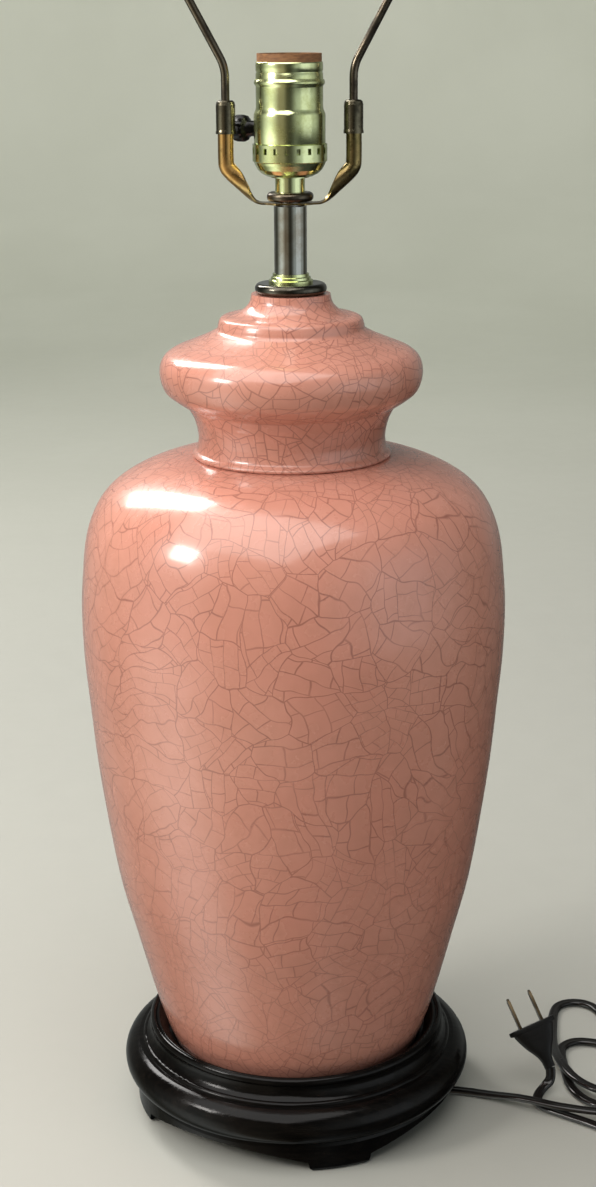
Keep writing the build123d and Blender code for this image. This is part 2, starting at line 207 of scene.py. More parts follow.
def crackle_glaze():
    """Pink glaze with long curved cracks, and shorter ones between them that run roughly square to each other.
    The pattern is laid on the turned surface by angle and by the height given in the UV map, both in radians,
    so that the cells are smaller where the jar is slimmer."""
    n = Nodes("crackle_glaze")
    x, y, z = (n.add("SeparateXYZ", {"Vector": n.where}).outputs[k] for k in range(3))
    radius = n.math("SQRT", n.math("ADD", n.math("MULTIPLY", x, x), n.math("MULTIPLY", y, y)))
    rise = n.add("SeparateXYZ", {"Vector": n.add("UVMap", uv_map="turned").outputs[0]}).outputs[1]
    front = n.math("ARCTAN2", x, n.math("MULTIPLY", y, -1.0))
    rear = n.math("ARCTAN2", x, y)
    # the two halves of the pattern meet along one crack on each side of the back
    border = n.math("ADD", n.math("ABSOLUTE", rear), n.spread(n.noise(11.0, 3), 0.2, 0.8, -0.9, -0.3))
    around = n.add("Mix", {0: n.math("LESS_THAN", border, 0.0), 2: front, 3: n.math("ADD", rear, 9.0)},
                   data_type="FLOAT").outputs[0]
    spot = n.add("CombineXYZ", {"X": around, "Y": rise}).outputs[0]

    def drift(scale, detail, reach):
        """Moves the pattern about by noise, to either side by half of reach."""
        noise = n.add("TexNoise", {"Vector": n.where, "Scale": scale, "Detail": detail}).outputs["Color"]
        noise = n.add("VectorMath", {0: noise, 1: (0.5, 0.5, 0.5)}, operation="SUBTRACT").outputs[0]
        noise = n.add("VectorMath", {0: noise, 1: (reach, reach, 0.0)}, operation="MULTIPLY").outputs[0]
        return n.add("VectorMath", {0: spot, 1: noise}, operation="ADD").outputs[0]

    spot = drift(15.0, 1.2, 0.42)
    spot = drift(62.0, 1.0, 0.085)
    # above the neck's foot, and again on the top tier, the cells shrink less than the radius does
    size = n.math("SUBTRACT", 1.0, n.math("ADD", n.math("MULTIPLY", n.math("GREATER_THAN", z, NECK_FOOT), 0.22),
                                          n.math("MULTIPLY", n.math("GREATER_THAN", z, TIER_FOOT), 0.28)))
    spot = n.add("VectorMath", {0: spot, "Scale": size}, operation="SCALE").outputs[0]
    hair = n.math("MULTIPLY", n.math("DIVIDE", HAIR, n.math("MAXIMUM", radius, 0.02)), size)

    def line(distance, scale, width):
        """1 on the crack, 0 away from it, at a width in hair's breadths."""
        reach = n.math("MULTIPLY", hair, scale * width)
        node = n.add("MapRange", {"Value": distance, "From Min": 0.0, "To Min": 1.0, "To Max": 0.0},
                     interpolation_type="SMOOTHSTEP")
        n.put(node, "From Max", reach)
        return node.outputs["Result"]

    def cells(vector, scale, feature, randomness):
        return n.add("TexVoronoi", {"Vector": vector, "Scale": scale, "Randomness": randomness},
                     voronoi_dimensions="2D", feature=feature)

    plates = cells(spot, PLATES_PER_RADIAN, "F1", 0.85)
    chance = n.add("SeparateColor", {"Color": plates.outputs["Color"]}).outputs
    turned = n.add("VectorRotate", {"Vector": spot, "Angle": n.math("MULTIPLY", chance[0], 3.14)},
                   rotation_type="Z_AXIS").outputs[0]
    stretch = n.add("VectorMath", {0: turned, "Scale": n.spread(chance[1], 0.0, 1.0, 0.80, 1.25)},
                    operation="SCALE").outputs[0]
    edge = cells(spot, PLATES_PER_RADIAN, "DISTANCE_TO_EDGE", 0.85).outputs["Distance"]
    plate_edges = line(edge, PLATES_PER_RADIAN, 1.5)
    squares = n.add("TexBrick", {"Vector": stretch, "Scale": 1.0,
                                 "Brick Width": SHORT_CRACKS[0], "Row Height": SHORT_CRACKS[1],
                                 "Mortar Size": n.math("MULTIPLY", hair, 1.65), "Mortar Smooth": 1.0},
                    offset=0.38, offset_frequency=2, squash=1.3, squash_frequency=3).outputs["Fac"]
    faint = n.spread(n.noise(30.0, 3), 0.36, 0.60, 0.55, 1.0)
    seam = line(n.math("ABSOLUTE", border), 1.0, 1.8)
    lines = n.math("MAXIMUM", n.math("MULTIPLY", n.math("MAXIMUM", plate_edges, seam), 0.66),
                   n.math("MULTIPLY", n.math("MULTIPLY", squares, faint), 0.68))
    lines = n.math("MULTIPLY", lines, n.spread(z, 0.10, 0.32, 0.86, 1.0))
    pink = n.mix(n.spread(n.noise(9.0, 3), 0.35, 0.68), PINK, PALER_PINK)
    pink = n.mix(n.math("MULTIPLY", n.spread(n.noise(120.0, 4), 0.3, 0.75), 0.35), pink, DEEPER_PINK)
    color = n.mix(lines, pink, CRACK_TONE)
    # painted shade: near the bottom the glaze is mixed up to a fifth of the way to the foot colour, fading out by
    # 0.26 m
    color = n.mix(n.spread(z, 0.02, 0.26, 0.20, 0.0), color, FOOT_PAINTED_SHADE)
    wavy = n.bump(n.noise(42.0, 2), 0.00035, 0.5)
    return n.shade(Base_Color=color, Roughness=n.spread(n.noise(60.0, 4), 0.3, 0.7, 0.22, 0.32),
                   Normal=n.bump(lines, 0.00005, 0.35, wavy), Coat_Weight=0.55, Coat_Roughness=0.11)


def metal(name, light, dark, rough=(0.16, 0.32), turned=True, spots=0.0, wavy=1.0, paint_light=None):
    """Metal with tarnish in soft patches, faint turning lines and fine scratches; an optional function paints light
    and shade onto its colour by place.
    """
    n = Nodes(name)
    tarnish = n.spread(n.noise(85.0, 5, 0.62), 0.38, 0.72)
    color = n.mix(tarnish, light, dark)
    if spots:
        speck = n.spread(n.noise(420.0, 2), 0.60, 0.68)
        color = n.mix(n.math("MULTIPLY", speck, spots), color, tuple(0.25 * c for c in dark))
    # painted light and shade by place, from the given function
    if paint_light:
        color = paint_light(n, color)
    scratch = n.noise(900.0, 2, vector=n.stretched((1, 1, 9) if turned else (9, 9, 1)))
    uneven = n.math("ADD", n.spread(tarnish, 0, 1, rough[0], rough[1]), n.spread(scratch, 0.4, 0.8, 0.0, 0.07))
    return n.shade(Base_Color=color, Metallic=1.0, Roughness=uneven,
                   Normal=n.bump(scratch, 0.00002, 0.35 * wavy, n.bump(n.noise(70.0, 2), 0.0002, 0.25 * wavy)))


def lacquered_wood():
    """Black gloss lacquer, a little worn, with the grain faintly showing."""
    n = Nodes("lacquered_wood")
    grain = n.noise(38.0, 6, 0.6, vector=n.stretched((1, 9, 9)), distortion=0.6)
    worn = n.spread(n.noise(24.0, 5, 0.65), 0.58, 0.76)
    color = n.mix(n.spread(grain, 0.35, 0.75), (0.0022, 0.0019, 0.0018), (0.0060, 0.0048, 0.0040))
    color = n.mix(n.math("MULTIPLY", worn, 0.30), color, (0.016, 0.012, 0.010))
    rough = n.math("ADD", n.spread(n.noise(55.0, 5), 0.3, 0.75, 0.09, 0.18), n.math("MULTIPLY", worn, 0.10))
    normal = n.bump(grain, 0.00025, 0.35, n.bump(n.noise(160.0, 3), 0.0001, 0.3))
    return n.shade(Base_Color=color, Roughness=rough, Normal=normal, Specular_IOR_Level=0.15)


def moulded(name, color, rough, grain=700.0, scuffed=0.3, gloss=0.5):
    """Moulded plastic or vinyl with a fine grain and paler scuffs."""
    n = Nodes(name)
    fine = n.noise(grain, 2)
    scuff = n.spread(n.noise(110.0, 6, 0.7), 0.58, 0.8)
    tint = n.mix(n.math("MULTIPLY", scuff, scuffed), color, tuple(min(1, 3.2 * c + 0.02) for c in color))
    return n.shade(Base_Color=tint, Normal=n.bump(fine, 0.00004, 0.4), Specular_IOR_Level=gloss,
                   Roughness=n.math("ADD", n.spread(fine, 0.3, 0.7, rough, rough + 0.07),
                                    n.math("MULTIPLY", scuff, 0.14)))


def fibre_board():
    """Brown insulating board of the sleeve."""
    n = Nodes("fibre_board")
    fibres = n.noise(260.0, 6, 0.7, vector=n.stretched((1, 1, 5)))
    color = n.mix(n.spread(fibres, 0.3, 0.72), (0.17, 0.070, 0.026), (0.34, 0.165, 0.066))
    return n.shade(Base_Color=color, Roughness=n.spread(fibres, 0.3, 0.7, 0.62, 0.8),
                   Normal=n.bump(fibres, 0.00012, 0.7))


def porcelain():
    """Unglazed porcelain of the socket's body, grey with soot in places."""
    n = Nodes("porcelain")
    soot = n.spread(n.noise(150.0, 5), 0.5, 0.8)
    return n.shade(Base_Color=n.mix(soot, (0.66, 0.62, 0.54), (0.40, 0.34, 0.26)),
                   Roughness=n.spread(n.noise(400.0, 3), 0.3, 0.7, 0.38, 0.55),
                   Normal=n.bump(n.noise(500.0, 3), 0.00006, 0.4))


GLAZE = crackle_glaze()
BRASS = metal("polished_brass", (0.84, 0.91, 0.50), (0.60, 0.63, 0.27), (0.15, 0.26))
TUBE_METAL = metal("bright_tube", (0.46, 0.47, 0.43), (0.34, 0.31, 0.25), (0.02, 0.05), turned=False, wavy=0.3)
ANTIQUE = metal("antique_brass", (0.42, 0.31, 0.13), (0.15, 0.10, 0.045), (0.26, 0.45), spots=0.6)
BRONZE = metal("dark_bronze", (0.150, 0.125, 0.090), (0.050, 0.042, 0.032), (0.24, 0.42), spots=0.3)
RING_METAL = metal("ring_bronze", (0.14, 0.13, 0.105), (0.06, 0.055, 0.042), (0.14, 0.26))
FERRULE = metal("ferrule_bronze", (0.17, 0.15, 0.10), (0.040, 0.036, 0.026), (0.22, 0.40), spots=0.4)
STEEL = metal("zinc_steel", (0.55, 0.54, 0.52), (0.34, 0.32, 0.29), (0.28, 0.44))
BLADE_METAL = metal("tarnished_blade", (0.085, 0.064, 0.038), (0.042, 0.032, 0.020), (0.30, 0.46))
THIN_BRASS = metal("pressed_brass", (0.66, 0.54, 0.27), (0.42, 0.31, 0.13), (0.22, 0.36))
WOOD = lacquered_wood()
PHENOLIC = moulded("phenolic", (0.0045, 0.0042, 0.0040), 0.16, scuffed=0.08, gloss=0.25)
VINYL = moulded("cord_vinyl", (0.0080, 0.0064, 0.0058), 0.14, 500.0, 0.06)
PLUG_VINYL = moulded("plug_vinyl", (0.0060, 0.0055, 0.0052), 0.34, 650.0, 0.15, gloss=0.25)
FIBRE = fibre_board()
CLAY = porcelain()

for material, names in (
        (WOOD, "base_stand"), (BRONZE, "saddle_ring"), (RING_METAL, "neck_ring"),
        (BRASS, "tube_flange cap_hub socket_cap"), (TUBE_METAL, "neck_tube"),
        (ANTIQUE, "harp_top"), (FERRULE, "ferrule_left ferrule_right"),
        (STEEL, "threaded_pipe bottom_washer bottom_nut hub_set_screw terminal_screws switch_rotor"),
        (PHENOLIC, "cord_bushing"), (CLAY, "socket_body"), (THIN_BRASS, "center_contact"),
        (VINYL, "inner_cord lead_wires"), (FIBRE, "insulating_sleeve")):
    for node in names.split():
        material_on(NODES[node], material)


# ---- mains cord: one smooth route, a flat two-core cord along it ------------------
LAY, OVER = 2.0, 6.3
LAMP_SIDE = [(0, 0, 15.5), (0, 0, 8.8), (7.4, -0.7, 2.4), (22, -2.6, LAY), (52, -4.6, LAY),
             (88.5, -9.6, LAY), (106, -16.2, 2.6), (121.5, -25.2, 6), (138.5, -34.4, OVER),
             (160, -40.6, OVER), (183, -43.4, OVER), (207, -41.6, OVER), (231, -32.6, 5),
             (250, -18.6, 3.4)]
PLUG_SIDE = [(229, 53.6, 6.0), (209, 51.8, 3.4), (193, 54, LAY), (181.6, 63, LAY),
             (177.4, 82.1, LAY), (169.8, 89.7, LAY), (159.2, 89.7, LAY), (151.6, 82.1, LAY),
             (147.8, 57, LAY), (145.4, 36, 3.6), (146.2, 14, OVER), (152.6, -8, OVER),
             (167.4, -20.6, 5.6), (185.6, -16.6, 3.6), (194.6, -2, LAY), (194.2, 14, LAY),
             (188.6, 28, LAY), (178.5, 38.4, LAY), (163.1, 44, LAY), (154.4, 41.2, LAY),
             (149, 33.7, LAY), (149.2, 10, LAY), (149.6, -9, LAY), (158.4, -25.2, LAY),
             (176, -31.6, LAY), (198.3, -43.4, LAY), (201.9, -53.1, LAY), (198.7, -62.9, LAY),
             (190.1, -68.7, LAY), (179.8, -68, LAY), (159.6, -47.4, LAY), (145.4, -37.6, LAY),
             (134, -29.8, LAY), (129.6, -23, LAY), (130.8, -16.6, 3), (135, -11.8, 5.2),
             (139.2, -9.8, 8.6), (138.4, -7.2, 14)]
COIL_X, COIL_Y, TURNS, PER_TURN = 240, 18, 5, 16
START_DEG, END_DEG = -46.3, 76.4 + 360 * TURNS
# (radius, height) of each turn, in order
COIL_LAYERS = [(32.8, 2.2), (27.2, 2.2), (27.2, 4.9), (32.8, 4.9), (27.2, 7.6), (32.8, 7.6)]


def coil_turns():
    """The length put away: turns side by side in layers, each moving over to the next in a quarter turn."""
    count = round((END_DEG - START_DEG) / 360 * PER_TURN)
    points = []
    for k in range(count + 1):
        turn = k / PER_TURN
        angle = radians(START_DEG + (END_DEG - START_DEG) * k / count)
        layer = min(int(turn + 0.25), len(COIL_LAYERS) - 2)
        part = ease((turn - layer - 0.62) / 0.26)
        (r0, z0), (r1, z1) = COIL_LAYERS[layer], COIL_LAYERS[layer + 1]
        radius = r0 + (r1 - r0) * part + 0.25 * sin(5.1 * turn)
        points.append((COIL_X + radius * cos(angle), COIL_Y + radius * sin(angle), z0 + (z1 - z0) * part))
    return points


def nurbs_points(route, resolution):
    """Points along the route's NURBS curve, in metres."""
    curve = bpy.data.curves.new("route", "CURVE")
    curve.dimensions = "3D"
    spline = curve.splines.new("NURBS")
    spline.points.add(len(route) - 1)
    for point, at in zip(spline.points, route):
        point.co = (*(c * MM for c in at), 1)
    spline.order_u = 3
    spline.use_endpoint_u = True
    spline.resolution_u = resolution
    holder = bpy.data.objects.new("route", curve)
    line = bpy.data.meshes.new_from_object(holder)
    points = [v.co.copy() for v in line.vertices]
    bpy.data.objects.remove(holder)
    bpy.data.curves.remove(curve)
    bpy.data.meshes.remove(line)
    return points


route = LAMP_SIDE + coil_turns() + PLUG_SIDE
line = nurbs_points(route, 8)
lengths = [(b - a).length for a, b in zip(line, line[1:])]
cord_length = sum(lengths)
print("cord length", round(cord_length, 3))

PLUG_REAR = Vector(PLUG_SIDE[-1]) * MM
PLUG_Z = Vector((-0.39, 0.446, 0.805)).normalized()
PLUG_X = Vector((0.92, 0.189, 0.341))
PLUG_X = (PLUG_X - PLUG_Z * PLUG_X.dot(PLUG_Z)).normalized()
PLUG_Y = PLUG_Z.cross(PLUG_X)


def cord_widths():
    """Which way the flat cord's broad side lies at each point: level, and square to the plug's face at its end."""
    out, travelled = [], 0.0
    for i in range(len(line)):
        ahead = heading(line, i)
        travelled += lengths[i - 1] if i else 0.0
        level = ahead.cross(UP)
        level = level.normalized() if level.length > 0.2 else Vector((0, 1, 0))
        if out and level.dot(out[-1]) < 0:
            level = -level
        left = cord_length - travelled
        to_plug = ease((0.022 - left) / 0.016)
        side = PLUG_X if not out or PLUG_X.dot(out[-1]) > 0 else -PLUG_X
        wide = level * (1 - to_plug) + side * to_plug
        wide = (wide - ahead * wide.dot(ahead)).normalized()
        out.append(wide)
    return out


def flat_cord(name, body):
    """Two round cores side by side in one jacket, with a groove between them."""
    apart, core = 1.32, 1.38        # each core's centre from the middle, and its radius
    section = []
    for side, start in ((1, -126), (-1, 54)):
        for k in range(9):
            a = radians(start + 252 * k / 8)
            section.append((side * apart + core * cos(a), core * sin(a)))
    verts = []
    for i, (at, wide) in enumerate(zip(line, cord_widths())):
        tall = heading(line, i).cross(wide)
        verts += [at / MM + wide * x + tall * y for x, y in section]
    cols = len(section)
    faces = grid_faces(len(line), cols, wrap_cols=True)
    faces += [tuple(range(cols)), tuple(range(len(verts) - cols, len(verts)))]
    return mesh_object(name, verts, faces, body, 60)


cord = flat_cord("mains_cord", "lamp")
material_on(cord, VINYL)
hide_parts("cord_lamp_side", "cord_plug_side", "cord_coil")


# ---- plug: slim wings, a lip round the face, ribbed grips, two blades --------------
def plug_point(x, y, z):
    return (PLUG_REAR + (PLUG_X * x + PLUG_Y * y + PLUG_Z * z) * MM) / MM


def plug_shell():
    stations = [(0.0, 2.7, 1.7), (0.2, 3.0, 2.1), (3.0, 3.1, 2.3), (6.0, 3.7, 2.8), (9.5, 5.4, 3.5),
                (13.0, 7.6, 3.8), (17.0, 9.6, 3.9), (21.0, 11.2, 3.9), (22.3, 11.6, 3.9), (22.6, 13.1, 3.95),
                (24.6, 13.3, 3.95), (25.0, 13.0, 3.7)]
    rows = smooth_line(stations, 4)
    verts, cols = [], 40
    for z, half_w, half_t in rows:
        rib = 0.28 * max(0.0, sin(pi * (z - 9) / 12)) * abs(sin(pi * z / 1.9)) if 9 < z < 21 else 0
        for k in range(cols):
            a = 2 * pi * k / cols
            c, s = cos(a), sin(a)
            x = half_w * squared(c, 0.62)
            y = half_t * squared(s, 0.72)
            if abs(s) > 0.75:
                y -= rib * (1 if s > 0 else -1)
            verts.append(plug_point(x, y, z))
    faces = grid_faces(len(rows), cols, wrap_cols=True)
    for ring in (0, len(rows) - 1):
        middle = len(verts)
        verts.append(plug_point(0, 0, rows[ring][0]))
        faces += [(ring * cols + k, ring * cols + (k + 1) % cols, middle) for k in range(cols)]
    return mesh_object("plug_shell", verts, faces, "lamp", 38)


def plug_blade(name, side):
    """Flat blade with a rounded, thinned tip and a hole."""
    x0, base, tip, half = side * 6.35, 24.0, 42.4, 3.15
    outline = [(-half, base), (half, base), (half, tip - 1.8), (half - 0.6, tip - 0.6), (half - 1.6, tip),
               (-half + 1.6, tip), (-half + 0.6, tip - 0.6), (-half, tip - 1.8)]
    hole_angles = [2 * pi * k / 8 - 3 * pi / 4 for k in range(8)]
    hole = [(1.5 * cos(a), tip - 4.4 + 1.5 * sin(a)) for a in hole_angles]
    verts = []
    for face in (-0.75, 0.75):
        for y, z in outline + hole:
            thin = 0.35 if z > tip - 1.0 and (y, z) in outline else 0.0
            verts.append(plug_point(x0 + face * (1 - thin), y, z))
    faces = []
    for k in range(8):
        j = (k + 1) % 8
        faces += [(k, j, 8 + j, 8 + k), (16 + k, 16 + j, 24 + j, 24 + k),
                  (k, j, 16 + j, 16 + k), (8 + k, 8 + j, 24 + j, 24 + k)]
    return mesh_object(name, verts, faces, "lamp", 30)


shell = plug_shell()
material_on(shell, PLUG_VINYL)
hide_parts("plug_body")
blades = [plug_blade("plug_blade_" + word, side) for word, side in (("left", -1), ("right", 1))]
for blade in blades:
    material_on(blade, BLADE_METAL)
    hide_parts("plug_blades")


def coil_strap():
    """Flat strap drawn round the coil's turns."""
    half, loop = 2.4, []
    for k in range(28):
        a = 2 * pi * k / 28
        loop.append((30 + 5.9 * squared(cos(a), 0.7), 5.0 + 4.55 * squared(sin(a), 0.7)))
    verts = []
    for y in (-half, -half + 0.3, half - 0.3, half):
        grow = 0.0 if abs(y) < half else -0.25
        verts += [(COIL_X + x + (0.35 + grow) * (1 if x > 30 else -1), COIL_Y + y, z) for x, z in loop]
    strap = mesh_object("coil_strap", verts, grid_faces(4, 28, wrap_cols=True), "lamp", 60)
    thicken(strap, 0.0006, -1.0)
    return strap


strap = coil_strap()
material_on(strap, PHENOLIC)
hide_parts("coil_tie")


# ---- ceramic jar ------------------------------------------------------------------
SIDE = [(67.2, 41.0), (69.9, 47.6), (75.9, 66.8), (84.7, 102.0), (92.0, 131.0), (97.6, 164.0),
        (102.2, 197.0), (105.4, 230.0), (107.4, 253.0), (108.0, 276.0), (107.0, 294.0), (104.4, 315.0),
        (98.7, 330.3), (90.5, 340.2), (78.5, 347.6), (65.0, 352.6), (53.5, 355.0), (48.6, 355.5)]
# the neck's foot is a small ledge over a groove
NECK = [(48.6, 355.5), (49.5, 356.0), (49.7, 357.0), (48.9, 358.0), (47.5, 359.4), (46.8, 362.2),
        (46.6, 366.0), (47.6, 371.4), (49.0, 375.6), (51.6, 380.4)]
BULGE = [(51.6, 380.4), (58.4, 384.9), (63.0, 389.2), (65.1, 396.6), (63.9, 403.4), (59.5, 407.8),
         (51.0, 411.4), (43.0, 414.8), (37.6, 417.6)]
TIER = [(37.6, 417.6), (36.4, 418.8), (35.9, 421.0), (34.9, 423.6), (32.4, 424.9), (28.6, 425.6),
        (25.0, 426.9), (22.0, 429.2), (20.2, 431.9), (19.4, 435.6)]


def flat(points):
    return [(r, z, 0) for r, z in points]


def jar_profile():
    outer = [(65.9, 38.0), (66.6, 38.4)]
    for part in (SIDE, NECK, BULGE, TIER):
        outer += [tuple(p)[:2] for p in smooth_line(flat(part), 6)][:-1]
    inner = [(19.4, 435.6), (6.4, 435.6), (5.8, 435.2), (5.8, 426.0), (14, 423), (27, 416), (44, 406.6),
             (55.6, 402), (58.8, 396.4), (56, 390), (46, 383), (41.6, 374), (40.4, 362), (43, 352.6),
             (60, 346.8), (76, 341.6), (90, 332), (98.6, 313), (102, 276), (99.4, 230), (91.6, 164),
             (78.6, 102), (63.4, 50), (60, 45), (6, 45), (6, 38)]
    return outer + inner


def cast_unevenness(a, r, z):
    """Slight unevenness of a slip-cast pot, none where it meets other pieces."""
    fade = ease((z - 45) / 60) * ease((430 - z) / 40) * ease((r - 44) / 30)
    return fade * (0.28 * sin(2 * a + 0.7) * sin(z / 61) + 0.16 * sin(5 * a + z / 37))


def turned_map(obj, profile):
    """UV map whose height is the distance along the profile, counted in radii."""
    heights = [0.0]
    for (r0, z0), (r1, z1) in zip(profile, profile[1:]):
        heights.append(heights[-1] + hypot(r1 - r0, z1 - z0) / (0.5 * (r0 + r1)))
    columns = len(obj.data.vertices) // len(profile)
    layer = obj.data.uv_layers.new(name="turned")
    for loop in obj.data.loops:
        row, column = divmod(loop.vertex_index, columns)
        layer.uv[loop.index].vector = (column / columns, heights[row])


jar = lathe("ginger_jar", jar_profile(), "lamp", 256, 50, cast_unevenness)
turned_map(jar, jar_profile())
material_on(jar, GLAZE)
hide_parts("ceramic_body")


# ---- harp saddle: a strip that curls into two tubes ----------------------------------
def saddle():
    line_pts = [(-34.15, 524), (-34.15, 511), (-34.15, 500), (-33.6, 495.6), (-31.0, 491.6), (-24, 485.2),
                (-19.6, 481.4), (-16.2, 479.5), (-11.5, 479), (0, 479)]
    right = [(-x, z) for x, z in reversed(line_pts[:-1])]
    rows = smooth_line(flat(line_pts + right), 7)
    tube_swing, tube_radius = radians(158), 3.5      # how far each edge of the strip curls round
    verts, cols = [], 25
    for i, at in enumerate(rows):
        along = heading(rows, i)
        inward = Vector((-along.y, along.x, 0))
        out = abs(at.x)
        curl = ease((out - 13.5) / 20.0) if at.y < 498 else 1.0
        half = 4.6 + 5.3 * ease((out - 15) / 17) + 5.0 * ease((12 - out) / 5)
        swing = tube_swing * curl + radians(3) * (1 - curl)
        radius = half / swing if curl < 1 else tube_radius
        for k in range(cols):
            t = swing * (2 * k / (cols - 1) - 1)
            y, lift = radius * sin(t), radius * (1 - cos(t))
            verts.append((at.x + inward.x * lift, y, at.y + inward.y * lift))
    strip = mesh_object("harp_saddle_strip", verts, grid_faces(len(rows), cols), "lamp", 60)
    thicken(strip, 0.0008)
    soft = strip.modifiers.new("edge", "BEVEL")
    soft.width, soft.segments, soft.limit_method = 0.0002, 2, "ANGLE"
    return strip


def arm_painted_light_and_shade(n, color):
    """Painted light and shade by side: the left arm is painted lighter, warm brass, and the right one darker, each
    in uneven patches.
    """
    side = n.add("SeparateXYZ", {"Vector": n.where}).outputs[0]
    patch = n.spread(n.noise(60.0, 4), 0.35, 0.62)
    painted_light_left = n.math("MULTIPLY", n.spread(side, -0.012, -0.028),
                    n.math("ADD", n.math("MULTIPLY", patch, 0.6), 0.35))
    painted_shade_right = n.math("MULTIPLY", n.spread(side, 0.014, 0.030),
                  n.math("ADD", n.math("MULTIPLY", patch, 0.45), 0.15))
    return n.mix(painted_shade_right, n.mix(painted_light_left, color, (0.62, 0.36, 0.12)), (0.13, 0.12, 0.05))


saddle_strip = saddle()
# the arms carry painted light on the left and painted shade on the right
material_on(saddle_strip, metal("saddle_brass", (0.42, 0.31, 0.13), (0.15, 0.10, 0.045), (0.20, 0.40), spots=0.6,
                                paint_light=arm_painted_light_and_shade))
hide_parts("harp_saddle")


# ---- harp: one bent wire -----------------------------------------------------------
def harp_loop():
    """Round wire from one foot over the bow to the other, in the lamp's middle plane."""
    half = [(30.6, 511), (30.6, 522), (30.6, 533), (30.6, 543), (35.3, 551.9), (51.5, 582.0), (58, 594.1),
            (62.3, 613), (63.4, 634), (59.8, 656), (51.8, 676), (40.5, 692), (27.5, 704.5), (14, 711.8), (7, 712)]
    points = nurbs_points([(x, 0, z) for x, z in half] + [(-x, 0, z) for x, z in reversed(half)], 6)
    verts, cols, depth, radius = [], 16, Vector((0, 1, 0)), 2.0
    for i, at in enumerate(points):
        across = heading(points, i).cross(depth)
        for k in range(cols):
            a = 2 * pi * k / cols
            verts.append(at / MM + across * (radius * cos(a)) + depth * (radius * sin(a)))
    faces = grid_faces(len(points), cols, wrap_cols=True)
    faces += [tuple(range(cols)), tuple(range(len(verts) - cols, len(verts)))]
    return mesh_object("harp_loop", verts, faces, "harp", 60)


wire = harp_loop()
material_on(wire, BRONZE)
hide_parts("harp_wire")


# ---- socket ----------------------------------------------------------------------
def shell_profile():
    outer = [(16.7, 500.2), (16.7, 506.6), (17.2, 507.6), (17.2, 520.4), (17.1, 521.4), (16.7, 522.4),
             (16.3, 523.2), (16.1, 524.4), (16.1, 533.6), (16.25, 534.3), (16.75, 534.9), (17.0, 535.8),
             (16.75, 536.7), (16.25, 537.3), (16.1, 538.0), (16.1, 539.9), (15.8, 540.4), (15.8, 540.9),
             (16.1, 541.4), (16.1, 544.6), (15.95, 545.1), (15.7, 545.3), (15.52, 545.2)]
    return outer + [(15.52, 523.9), (15.9, 522.6), (16.55, 521.3), (16.6, 508.0), (16.2, 507.0),
                    (16.2, 500.2)]


KNOB_DEG, KNOB_Z = 151.0, 513.9
SPOKE = Vector((cos(radians(KNOB_DEG)), sin(radians(KNOB_DEG)), 0))
KNOB_SIDE = Vector((-SPOKE.y, SPOKE.x, 0))


def knob_point(reach, radius, a):
    """A point at an angle round the switch shaft, at a reach from the lamp's axis."""
    return SPOKE * reach + KNOB_SIDE * (radius * cos(a)) + UP * (radius * sin(a)) + UP * KNOB_Z


def knob_hole(obj):
    """Cuts the round hole that the knob's stem passes through."""
    sides, radius = 32, 4.3
    verts = [knob_point(reach, radius, 2 * pi * k / sides) for reach in (10.0, 24.0) for k in range(sides)]
    faces = grid_faces(2, sides, wrap_cols=True) + [tuple(range(sides)), tuple(range(sides, 2 * sides))]
    cutter = mesh_object("cutter", verts, faces, "lamp")
    cut = obj.modifiers.new("hole", "BOOLEAN")
    cut.object, cut.solver = cutter, "EXACT"
    bpy.context.view_layer.update()
    done = bpy.data.meshes.new_from_object(obj.evaluated_get(bpy.context.evaluated_depsgraph_get()))
    obj.modifiers.clear()
    obj.data = done
    done.set_sharp_from_angle(angle=radians(35))
    bpy.data.objects.remove(cutter)


socket_shell = lathe("brass_shell", shell_profile(), "lamp", 128, 35)
knob_hole(socket_shell)
material_on(socket_shell, BRASS)
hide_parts("socket_shell")


def screw_thread():
    """Pressed screw shell: the round thread runs up the thin wall as a helix."""
    rows, cols, verts = 110, 72, []
    foot, height, radius, relief, pitch = 522.6, 23.4, 13.65, 0.42, 3.63
    for i in range(rows):
        z = foot + height * i / (rows - 1)
        depth = relief * ease((z - 524.4) / 2) * ease((545.2 - z) / 2)
        for k in range(cols):
            a = 2 * pi * k / cols
            r = radius + depth * cos(2 * pi * z / pitch - a)
            verts.append((r * cos(a), r * sin(a), z))
    obj = mesh_object("threaded_shell", verts, grid_faces(rows, cols, wrap_cols=True), "lamp", 60)
    thicken(obj, 0.0003)
    return obj


thread = screw_thread()
material_on(thread, THIN_BRASS)
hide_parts("screw_shell")


def switch_knob():
    """Fluted knob on a plain skirt, turned about the switch shaft."""
    profile = [(1.7, 17.9), (3.5, 17.9), (3.7, 18.1), (3.7, 22.2), (4.1, 22.9), (5.0, 23.5), (6.0, 24.0),
               (6.25, 24.5), (6.4, 25.3), (6.4, 28.6), (6.2, 29.6), (5.6, 30.2), (4.4, 30.4), (2.0, 30.4),
               (0.01, 30.4), (0.01, 28.0), (1.7, 28.0)]
    verts, cols, flutes = [], 96, 16
    for r, reach in profile:
        flute = 0.5 * ease((reach - 23.4) / 0.9) * ease((30.5 - reach) / 0.8) if r > 4.2 else 0
        for k in range(cols):
            a = 2 * pi * k / cols
            verts.append(knob_point(reach, r - flute * (0.5 - 0.5 * cos(flutes * a)) ** 0.7, a))
    return mesh_object("fluted_knob", verts, grid_faces(len(profile), cols, True, True), "switch", 40)


knob = switch_knob()
material_on(knob, PHENOLIC)
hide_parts("switch_knob")


